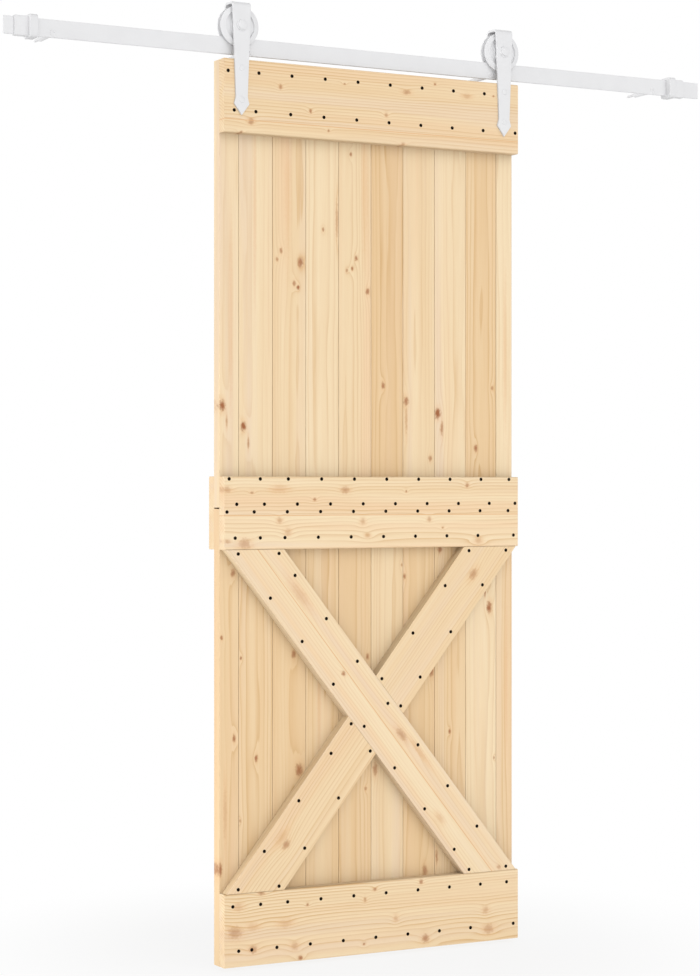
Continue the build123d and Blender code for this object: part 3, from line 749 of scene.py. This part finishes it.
def rounded(profile, radius, closed=False, steps=CORNER_STEPS):
    """A profile with its corners rounded; an open one keeps its two ends."""
    points = [Vector(point) for point in profile]
    result = []
    for number, corner in enumerate(points):
        if not closed and number in (0, len(points) - 1):
            result.append(tuple(corner))
            continue
        before, after = points[number - 1] - corner, points[(number + 1) % len(points)] - corner
        reach = min(radius, before.length * CORNER_REACH_SHARE, after.length * CORNER_REACH_SHARE)
        start, end = corner + before.normalized() * reach, corner + after.normalized() * reach
        for step in range(steps + 1):
            share = step / steps
            first, second = start.lerp(corner, share), corner.lerp(end, share)
            result.append(tuple(first.lerp(second, share)))
    return result


def add_round(shape, centre, rows, segments, closed=False):
    """Turns rows of (y, radius) about an axis along Y; a row may also be a function of the angle."""
    rings = []
    for row in rows:
        if not callable(row) and row[1] == 0:
            rings.append([shape.verts.new((centre[0], row[0], centre[1]))])
            continue
        ring = []
        for step in range(segments):
            angle = math.tau * step / segments
            y, radius = row(angle) if callable(row) else row
            x, z = centre[0] + radius * math.cos(angle), centre[1] + radius * math.sin(angle)
            ring.append(shape.verts.new((x, y, z)))
        rings.append(ring)
    pairs = list(zip(rings, rings[1:])) + ([(rings[-1], rings[0])] if closed else [])
    for low, high in pairs:
        for step in range(segments):
            after = (step + 1) % segments
            near = [low[number % len(low)] for number in (step, after)]
            far = [high[number % len(high)] for number in (after, step)]
            loop = list(dict.fromkeys(near + far))
            if len(loop) > 2:
                shape.faces.new(loop)


def add_tube(shape, centre, ends, bore, radius, corner, steps=CORNER_STEPS):
    """A plain tube from end to end with rounded corners."""
    section = [(ends[0], bore), (ends[0], radius), (ends[1], radius), (ends[1], bore)]
    add_round(shape, centre, rounded(section, corner, True, steps), RING_STEPS, closed=True)


def add_ring(shape, centre, plane, section, corner, segments, steps=CORNER_STEPS):
    """Turns a closed section whose other half mirrors it across a plane."""
    profile = section + [(-along, radius) for along, radius in reversed(section)]
    rows = [(plane + along, radius) for along, radius in rounded(profile, corner, True, steps)]
    add_round(shape, centre, rows, segments, closed=True)


def hex_reach(angle, width):
    """Distance from a hexagon's middle to its side at this angle."""
    return width / 2 / math.cos(angle % (math.pi / 3) - math.pi / 6)


def add_hex(shape, centre, seat, end, width, bore=0.0):
    """A hexagon head or nut from its seat to its chamfered end."""
    face = width * HEX_FACE_SHARE
    way = 1 if end > seat else -1

    def shoulder(angle):
        reach = hex_reach(angle, width)
        return end - way * (reach - face) * HEX_CHAMFER_SLOPE, reach

    rows = [(seat, bore), lambda angle: (seat, hex_reach(angle, width)), shoulder, (end, face), (end, bore)]
    add_round(shape, centre, rows, FLANGE_STEPS, closed=bore > 0)


def middle(node):
    """The middle of a CAD node's box."""
    low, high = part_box(node)
    return (low + high) / 2


def turning_axis(low, high):
    """Where an axis along Y passes through the middle of a box."""
    return (low.x + high.x) / 2, (low.z + high.z) / 2


def solid_boxes(node):
    """The boxes of the separate solids of a CAD node."""
    shape = bmesh.new()
    shape.from_mesh(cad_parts[node].data)
    bmesh.ops.remove_doubles(shape, verts=shape.verts, dist=WELD)
    seen, boxes = set(), []
    for start in shape.verts:
        if start in seen:
            continue
        island, waiting = [], [start]
        seen.add(start)
        while waiting:
            vertex = waiting.pop()
            island.append(vertex.co.copy())
            near = {edge.other_vert(vertex) for edge in vertex.link_edges} - seen
            seen |= near
            waiting.extend(near)
        boxes.append(tuple(Vector(map(pick, zip(*island))) for pick in (min, max)))
    shape.free()
    return boxes


def screw_blank(reach):
    """One countersunk screw with a cross recess, its face at the origin and its point towards +Y."""
    sizes = settings("screws")
    shape = bmesh.new()

    def ring(radius, y):
        angles = [math.tau * (step + 0.5) / SCREW_STEPS for step in range(SCREW_STEPS)]
        return [shape.verts.new((radius * math.cos(a), y, radius * math.sin(a))) for a in angles]

    def around(loop):
        return zip(loop, loop[1:] + loop[:1])

    def join(low, high):
        for (first, second), (third, fourth) in zip(around(low), around(high)):
            shape.faces.new((first, second, fourth, third))

    slimmer, taper_end = SCREW_TAPER_SHARES
    rim = ring(sizes.head_radius * SCREW_FACE_SHARE, 0)
    rings = [
        rim, ring(sizes.head_radius, sizes.head_radius * SCREW_RIM_SHARE),
        ring(sizes.core_radius, sizes.head_depth), ring(sizes.core_radius * slimmer, reach * taper_end),
    ]
    for low, high in zip(rings, rings[1:]):
        join(low, high)
    point = shape.verts.new((0, reach, 0))
    for first, second in around(rings[-1]):
        shape.faces.new((first, second, point))

    half, arm = sizes.recess_half, sizes.recess_reach
    quarter = [(arm, -half), (arm, half), (half, half)]
    outline = []
    for cos, sin in ((1, 0), (0, 1), (-1, 0), (0, -1)):
        outline += [(x * cos - z * sin, x * sin + z * cos) for x, z in quarter]
    top = [shape.verts.new((x, 0, z)) for x, z in outline]
    narrow = RECESS_FOOT_SHARE
    foot = [shape.verts.new((x * narrow, sizes.recess_depth, z * narrow)) for x, z in outline]
    join(top, foot)
    shape.faces.new(foot)
    edges = [shape.edges.get(pair) for loop in (rim, top) for pair in around(loop)]
    bmesh.ops.triangle_fill(shape, edges=edges, use_beauty=True)
    bmesh.ops.recalc_face_normals(shape, faces=shape.faces)
    mesh = bpy.data.meshes.new("screw_blank")
    write_mesh(shape, mesh)
    return mesh


def make_screw_tree():
    """Geometry nodes that set a screw on every point, turned at random."""
    tree, given = new_group("Wood Screws", {
        "Points": "Geometry", "Screw": "Object", "Size": "Float", "Seed": "Int", "Finish": "Material",
    }, {"Screws": "Geometry"}, "GeometryNodeTree")
    screw = add_value(tree, "GeometryNodeObjectInfo", {"Object": given["Screw"]}, "Geometry")
    span = {2: 0.0, 3: math.tau, "Seed": given["Seed"]}
    turn = add_value(tree, "FunctionNodeRandomValue", span, 1, data_type="FLOAT")
    turned = add_value(tree, "FunctionNodeEulerToRotation", {0: joined(0.0, turn, 0.0)})
    placed = add_value(tree, "GeometryNodeInstanceOnPoints", {
        "Points": given["Points"], "Instance": screw, "Rotation": turned, "Scale": given["Size"]})
    real = add_value(tree, "GeometryNodeRealizeInstances", {0: placed})
    shown = add_value(tree, "GeometryNodeSetMaterial", {"Geometry": real, "Material": given["Finish"]})
    add_node(tree, "NodeGroupOutput", {"Screws": shown})
    return tree


def lay_screws(name, nodes):
    """Makes all the screws of these groups as one piece."""
    places = []
    for low, high in (box for node in nodes for box in solid_boxes(node)):
        x, z = turning_axis(low, high)
        places.append((x, low.y, z))
    low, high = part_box(nodes[0])
    blank = place_object("screw_blank", screw_blank(high.y - low.y))
    points = bpy.data.meshes.new(name)
    points.from_pydata(places, [], [])
    holder = place_object(f"{name}_points", points)
    modifier = holder.modifiers.new("Screws", "NODES")
    tree = bpy.data.node_groups.get("Wood Screws") or make_screw_tree()
    modifier.node_group = tree
    seed = settings("screws").seed
    values = {"Screw": blank, "Size": 1.0, "Seed": seed, "Finish": finish("black_screws")}
    for item in tree.interface.items_tree:
        if item.in_out == "INPUT" and item.name in values:
            modifier[item.identifier] = values[item.name]
    mesh = evaluated_mesh(holder, name)
    bpy.data.objects.remove(blank)
    if len(mesh.polygons) == 0:
        raise RuntimeError(f"{name}: the screw tree made no screws")
    mesh.set_sharp_from_angle(angle=SCREW_SHARP_ANGLE)
    new_piece(name, mesh, "door_leaf", "black_screws", *nodes)


def new_board(node, slot, mesh, *figure):
    """Puts a board on the door with a softwood of its own."""
    material = softwood(f"{node}_softwood", *figure)
    new_piece(f"{node}_board", mesh, "door_leaf", slot, node, material=material)


# Operators


class PLANKDOOR_OT_planks(bpy.types.Operator):
    """Make the upper and lower planks"""

    bl_idname = "plank_door.planks"
    bl_label = "Planks"

    def execute(self, context):
        wood = settings("wood")
        for row, (half, looks) in enumerate((("upper", UPPER_PLANKS), ("lower", LOWER_PLANKS))):
            for number, look in enumerate(looks, start=1):
                node = f"{half}_plank_{number:02d}"
                move = self.slimmer_bevel(node, wood.plank_bevel)
                mesh = eased_mesh(node, wood.plank_edge, PLANK_EDGE_STEPS, move)
                new_board(node, "planks", mesh, middle(node), 0.0, look, row * len(looks) + number)
        return {"FINISHED"}

    def slimmer_bevel(self, node, bevel):
        """How a plank's points move, so that the bevels along its joints are as wide as asked."""
        points = [v.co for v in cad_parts[node].data.vertices]
        front = min(point.y for point in points)
        behind = min(point.y for point in points if point.y > front + LEVEL)
        faces = [point.x for point in points if point.y < behind + LEVEL]
        left, right = min(faces), max(faces)
        reach = behind - front + LEVEL

        def move(point):
            x, y, z = point
            if abs(y - behind) < LEVEL:
                y = front + bevel
            elif abs(y - front) < LEVEL and x < left + reach:
                x = left + bevel
            elif abs(y - front) < LEVEL and x > right - reach:
                x = right - bevel
            return x, y, z

        return move


class PLANKDOOR_OT_rails(bpy.types.Operator):
    """Make the four rails"""

    bl_idname = "plank_door.rails"
    bl_label = "Rails"

    def execute(self, context):
        for number, (node, look) in enumerate(RAILS.items(), start=FIRST_RAIL):
            mesh = eased_mesh(node, settings("wood").edge)
            new_board(node, "rails", mesh, middle(node), math.pi / 2, look, number)
        return {"FINISHED"}


class PLANKDOOR_OT_braces(bpy.types.Operator):
    """Make the three braces"""

    bl_idname = "plank_door.braces"
    bl_label = "Braces"

    def execute(self, context):
        wood = settings("wood")
        lean = math.pi / 2 - wood.brace_lean
        for number, (node, look) in enumerate(BRACES.items(), start=FIRST_BRACE):
            turn = -lean if node == "long_brace" else lean
            new_board(node, "braces", eased_mesh(node, wood.edge), middle("long_brace"), turn, look, number)
        return {"FINISHED"}


class PLANKDOOR_OT_screws(bpy.types.Operator):
    """Set the black wood screws in rails and braces"""

    bl_idname = "plank_door.screws"
    bl_label = "Wood screws"

    def execute(self, context):
        lay_screws("long_wood_screws", ["middle_rail_screws"])
        lay_screws("short_wood_screws", [
            "top_rail_screws", "bottom_rail_screws", "long_brace_screws", "upper_brace_screws",
            "lower_brace_screws"])
        return {"FINISHED"}


class PLANKDOOR_OT_hangers(bpy.types.Operator):
    """Make the two hanger straps"""

    bl_idname = "plank_door.hangers"
    bl_label = "Hanger straps"

    def execute(self, context):
        for side in SIDES:
            node = f"{side}_hanger_strap"
            mesh = eased_mesh(node, settings("hardware").edge, BAR_EDGE_STEPS)
            new_piece(f"{node}_coated", mesh, "door_leaf", "white_metal", node)
        return {"FINISHED"}


class PLANKDOOR_OT_wheels(bpy.types.Operator):
    """Turn the two grooved wheels and their bearings"""

    bl_idname = "plank_door.wheels"
    bl_label = "Wheels"

    def execute(self, context):
        sizes = settings("hardware")
        for side in SIDES:
            body = f"{side}_wheel_assembly"
            low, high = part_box(f"{side}_wheel")
            centre, plane = turning_axis(low, high), (low.y + high.y) / 2
            half, rim = (high.y - low.y) / 2, (high.x - low.x) / 2
            mouth, web = sizes.groove_half + sizes.groove_flare, half - sizes.web_recess
            section = [
                (half, sizes.bearing_radius), (half, sizes.hub_radius),
                (web, sizes.hub_radius + sizes.web_slope), (web, sizes.rim_radius - sizes.web_slope),
                (half, sizes.rim_radius), (mouth + sizes.flange_tip, rim), (mouth, rim),
                (sizes.groove_half, sizes.groove_radius)]
            shape = bmesh.new()
            add_ring(shape, centre, plane, section, sizes.corner, WHEEL_STEPS)
            turned_piece(f"{side}_wheel_turned", shape, body, "white_metal", f"{side}_wheel")

            low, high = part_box(f"{side}_wheel_bearing")
            half, outer = (high.y - low.y) / 2, (high.x - low.x) / 2
            bore = sizes.sleeve_radius + sizes.bearing_clearance
            shield = half - sizes.shield_inset
            races = [bore + (outer - bore) * share for share in BEARING_RACE_SHARES]
            section = [(half, bore), *zip((half, shield, shield, half), races), (half, outer)]
            shape = bmesh.new()
            add_ring(shape, centre, plane, section, sizes.fine_corner, BEARING_STEPS, FINE_CORNER_STEPS)
            turned_piece(f"{side}_bearing_ring", shape, body, "plain_steel", f"{side}_wheel_bearing")
        return {"FINISHED"}


class PLANKDOOR_OT_axles(bpy.types.Operator):
    """Make the axle bolts, sleeves and nuts"""

    bl_idname = "plank_door.axles"
    bl_label = "Axles"

    def execute(self, context):
        sizes = settings("hardware")
        bolts, sleeves, nuts = bmesh.new(), bmesh.new(), bmesh.new()
        head_end, bolt_end = (corner.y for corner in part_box("axle_bolts"))
        sleeve_ends = [corner.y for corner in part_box("axle_sleeves")]
        for side in SIDES:
            centre = turning_axis(*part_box(f"{side}_wheel"))
            front, back = (corner.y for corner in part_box(f"{side}_hanger_strap"))
            seat, radius = front - sizes.axle_flange, sizes.axle_flange_radius
            flange = [(front, 0), (front, radius), (seat, radius * AXLE_FLANGE_FACE_SHARE), (seat, 0)]
            add_round(bolts, centre, rounded(flange, sizes.corner), FLANGE_STEPS)
            add_hex(bolts, centre, seat, head_end, sizes.axle_hex)
            shank = [(front, 0), (front, sizes.axle_radius), (bolt_end, sizes.axle_radius), (bolt_end, 0)]
            add_round(bolts, centre, rounded(shank, sizes.axle_corner), SHANK_STEPS)
            add_tube(
                sleeves, centre, sleeve_ends, sizes.axle_radius, sizes.sleeve_radius, sizes.fine_corner,
                FINE_CORNER_STEPS,
            )
            add_hex(nuts, centre, back, back + sizes.axle_nut, sizes.axle_hex, sizes.axle_radius)
        turned_piece("axle_bolts_coated", bolts, "door_leaf", "white_metal", "axle_bolts")
        turned_piece("axle_sleeves_turned", sleeves, "door_leaf", "plain_steel", "axle_sleeves")
        turned_piece("axle_nuts_plated", nuts, "door_leaf", "plain_steel", "axle_nuts")
        return {"FINISHED"}


class PLANKDOOR_OT_strap_bolts(bpy.types.Operator):
    """Make the strap bolts and their flanged nuts"""

    bl_idname = "plank_door.strap_bolts"
    bl_label = "Strap bolts"

    def execute(self, context):
        sizes = settings("hardware")
        bolts, nuts = bmesh.new(), bmesh.new()
        for low, high in solid_boxes("strap_bolts"):
            seat, head = low.y + sizes.bolt_head, sizes.bolt_head_radius
            dome = [(high.y, 0), (high.y, sizes.bolt_radius), (seat, sizes.bolt_radius), (seat, head)]
            dome += [(seat - sizes.bolt_head * rise, head * share) for rise, share in DOME_SHARES]
            dome.append((low.y, 0))
            add_round(bolts, turning_axis(low, high), rounded(dome, sizes.bolt_corner), RING_STEPS)
        for low, high in solid_boxes("strap_nuts"):
            centre, radius, seat = turning_axis(low, high), (high.x - low.x) / 2, low.y + sizes.nut_flange
            flange = [
                (low.y, sizes.bolt_radius), (low.y, radius),
                (low.y + sizes.nut_flange * NUT_FLANGE_EDGE_SHARE, radius),
                (seat, sizes.nut_hex * NUT_FLANGE_FACE_SHARE), (seat, sizes.bolt_radius)]
            rows = rounded(flange, sizes.nut_corner, True, FINE_CORNER_STEPS)
            add_round(nuts, centre, rows, RING_STEPS, closed=True)
            add_hex(nuts, centre, seat, high.y, sizes.nut_hex, sizes.bolt_radius)
        turned_piece("strap_bolts_coated", bolts, "door_leaf", "white_metal", "strap_bolts")
        turned_piece("strap_nuts_plated", nuts, "door_leaf", "plain_steel", "strap_nuts")
        return {"FINISHED"}


class PLANKDOOR_OT_track(bpy.types.Operator):
    """Make the track bar, its spacers and its lag bolts"""

    bl_idname = "plank_door.track"
    bl_label = "Track"

    def execute(self, context):
        sizes = settings("hardware")
        mesh = eased_mesh("track", sizes.edge * TRACK_EDGE_SHARE)
        new_piece("track_coated", mesh, "track_assembly", "white_metal", "track")
        spacers, lags = bmesh.new(), bmesh.new()
        for low, high in solid_boxes("track_spacers"):
            centre, radius = turning_axis(low, high), (high.x - low.x) / 2
            add_tube(spacers, centre, (low.y, high.y), sizes.spacer_bore, radius, sizes.corner)
        for low, high in solid_boxes("lag_bolts"):
            self.add_lag(lags, turning_axis(low, high), low.y, high.y, sizes)
        turned_piece("track_spacers_coated", spacers, "track_assembly", "white_metal", "track_spacers")
        turned_piece("lag_bolts_coated", lags, "track_assembly", "white_metal", "lag_bolts")
        return {"FINISHED"}

    def add_lag(self, shape, centre, face, end, sizes):
        """One lag bolt: a countersunk socket head, a plain shank and a pointed thread past y = 0."""
        top = face - sizes.lag_crown

        def socket(depth):
            return lambda angle: (top + depth, hex_reach(angle, sizes.lag_socket))

        def thread(y):
            def row(angle):
                wave = abs((y / sizes.lag_pitch - angle / math.tau) % 1.0 - 0.5) * 2
                height = (sizes.lag_crest - sizes.lag_root) * max(0.0, 1 - THREAD_SLOPE * (1 - wave))
                return y, (sizes.lag_root + height) * min(1.0, (end - y) / sizes.lag_point)
            return row

        rows = [
            (top + sizes.lag_socket_depth, 0), socket(sizes.lag_socket_depth), socket(sizes.lag_socket_lip),
            (top, sizes.lag_socket * LAG_SOCKET_MOUTH_SHARE)]
        crown, head = sizes.lag_crown, sizes.lag_head_radius
        rows += [(face - crown * rise, head * share) for rise, share in LAG_CROWN_SHARES]
        neck = face + sizes.lag_head_radius - sizes.lag_radius
        rows += [(neck, sizes.lag_radius), (-sizes.lag_step, sizes.lag_radius), (0.0, sizes.lag_root)]
        steps = int((end - sizes.lag_step) / sizes.lag_pitch * THREAD_STEPS)
        rows += [thread((end - sizes.lag_tip) * step / steps) for step in range(1, steps)]
        rows.append((end, 0))
        add_round(shape, centre, rows, SHANK_STEPS)


class PLANKDOOR_OT_stops(bpy.types.Operator):
    """Make the end stops and their bumpers, and plate the grub screws"""

    bl_idname = "plank_door.stops"
    bl_label = "End stops"

    def execute(self, context):
        sizes = settings("hardware")
        for side in SIDES:
            stop = eased_mesh(f"{side}_stop", sizes.edge, BAR_EDGE_STEPS)
            new_piece(f"{side}_stop_coated", stop, "track_assembly", "white_metal", f"{side}_stop")
            edge = sizes.edge * BUMPER_EDGE_FACTOR
            bumper = eased_mesh(f"{side}_bumper", edge, MOULDED_EDGE_STEPS)
            new_piece(f"{side}_bumper_moulded", bumper, "track_assembly", "bumpers", f"{side}_bumper")
        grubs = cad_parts["grub_screws"].data.materials
        grubs.clear()
        grubs.append(finish("plain_steel"))
        return {"FINISHED"}


class PLANKDOOR_OT_stage(bpy.types.Operator):
    """Set up the floor, the lights and the camera"""

    bl_idname = "plank_door.stage"
    bl_label = "Stage"

    def execute(self, context):
        stage = settings("stage")
        self.lay_floor(stage)
        self.light_room(stage)
        camera = bpy.data.cameras.new("camera")
        camera.lens = stage.lens
        viewer = place_object("camera", camera)
        viewer.location = stage.camera_place
        viewer.rotation_euler = (math.pi / 2, 0, stage.camera_turn)
        context.scene.camera = viewer
        context.scene.view_settings.view_transform = "Standard"
        return {"FINISHED"}

    def lay_floor(self, stage):
        """A pale round floor that fades into the white background away from the door."""
        shape = bmesh.new()
        bmesh.ops.create_circle(shape, cap_ends=True, radius=stage.floor_radius, segments=FLOOR_STEPS)
        mesh = bpy.data.meshes.new("floor")
        write_mesh(shape, mesh)
        mesh.transform(Matrix.Translation((0, 0, DOOR_CORNER.z - stage.floor_gap)))
        floor = place_object("floor", mesh)
        material, tree, shader = new_material("pale_floor")
        place = object_place(tree)
        tint = blend_colours(noise(place, *SPECKS) * FLOOR_SPECK, rgba(stage.floor), SPECK_GREY)
        tree.links.new(tint.socket, shader.inputs["Base Color"])
        shader.inputs["Roughness"].default_value = FLOOR_ROUGHNESS
        faded = smooth_step(flat_length(place), stage.floor_near, stage.floor_far)
        fade = faded * (1.0 - stage.floor_glow) + stage.floor_glow
        glow = add_value(tree, "ShaderNodeEmission", {"Color": WHITE, "Strength": 1.0})
        layers = {0: fade, 1: Value(tree, shader.outputs[0]), 2: glow}
        mixed = add_node(tree, "ShaderNodeMixShader", layers)
        output = next(node for node in tree.nodes if node.type == "OUTPUT_MATERIAL")
        tree.links.new(mixed.outputs[0], output.inputs["Surface"])
        mesh.materials.append(material)

    def light_room(self, stage):
        """Broad light from the front and the back that fades to the sides, a soft key and a side light."""
        world = bpy.data.worlds.new("studio")
        bpy.context.scene.world = world
        world.use_nodes = True
        tree = world.node_tree
        tree.nodes.clear()
        rays = add_node(tree, "ShaderNodeLightPath").outputs
        kinds = ("Camera", "Glossy", "Transmission")
        camera, glossy, through = (Value(tree, rays[f"Is {kind} Ray"]) for kind in kinds)
        seen = maths("MAXIMUM", maths("MAXIMUM", camera, glossy), through)
        depth = axis(add_value(tree, "ShaderNodeTexCoord", output="Generated"), "Y")
        ahead, astern = maths("MAXIMUM", depth * -1.0, 0.0), maths("MAXIMUM", depth, 0.0)
        room = ahead * stage.front + astern * stage.behind + stage.back
        # seen straight or in a reflection, the background is plain white
        level = add_value(tree, "ShaderNodeMix", {0: seen, 2: room, 3: 1.0}, data_type="FLOAT")
        light = add_value(tree, "ShaderNodeBackground", {"Color": WHITE, "Strength": level})
        add_node(tree, "ShaderNodeOutputWorld", {"Surface": light})
        for name, (spread, source) in LAMPS.items():
            lamp = bpy.data.lights.new(name, "SUN")
            lamp.energy = getattr(stage, name)
            lamp.angle = math.radians(spread)
            place_object(name, lamp).rotation_euler = Vector(source).to_track_quat("Z", "Y").to_euler()


STEPS = (
    PLANKDOOR_OT_planks, PLANKDOOR_OT_rails, PLANKDOOR_OT_braces, PLANKDOOR_OT_screws,
    PLANKDOOR_OT_hangers, PLANKDOOR_OT_wheels, PLANKDOOR_OT_axles, PLANKDOOR_OT_strap_bolts,
    PLANKDOOR_OT_track, PLANKDOOR_OT_stops, PLANKDOOR_OT_stage,
)
SETTINGS = {
    "plank_door_wood": PLANKDOOR_wood, "plank_door_screws": PLANKDOOR_screws,
    "plank_door_hardware": PLANKDOOR_hardware, "plank_door_stage": PLANKDOOR_stage,
}


class PLANKDOOR_PT_panel(bpy.types.Panel):
    """Lists the pieces and their settings"""

    bl_idname = "PLANKDOOR_PT_panel"
    bl_label = "Plank Door"
    bl_space_type = "VIEW_3D"
    bl_region_type = "UI"
    bl_category = "Plank Door"

    def draw(self, context):
        for step in STEPS:
            self.layout.operator(step.bl_idname)
        for name, group in SETTINGS.items():
            box = self.layout.box()
            box.label(text=group.__doc__)
            for key in group.__annotations__:
                box.prop(getattr(context.scene, name), key)


def register():
    """Registers the settings, the pieces' operators and the panel."""
    for group in SETTINGS.values():
        bpy.utils.register_class(group)
    for name, group in SETTINGS.items():
        setattr(bpy.types.Scene, name, PointerProperty(type=group))
    for cls in (*STEPS, PLANKDOOR_PT_panel):
        bpy.utils.register_class(cls)


def unregister():
    """Takes away what register adds."""
    for cls in reversed((*STEPS, PLANKDOOR_PT_panel)):
        bpy.utils.unregister_class(cls)
    for name, group in SETTINGS.items():
        delattr(bpy.types.Scene, name)
        bpy.utils.unregister_class(group)


def main():
    """Registers the pieces and makes them in order."""
    register()
    bpy.ops.plank_door.planks()
    bpy.ops.plank_door.rails()
    bpy.ops.plank_door.braces()
    bpy.ops.plank_door.screws()
    bpy.ops.plank_door.hangers()
    bpy.ops.plank_door.wheels()
    bpy.ops.plank_door.axles()
    bpy.ops.plank_door.strap_bolts()
    bpy.ops.plank_door.track()
    bpy.ops.plank_door.stops()
    bpy.ops.plank_door.stage()


if __name__ == "__main__":
    main()
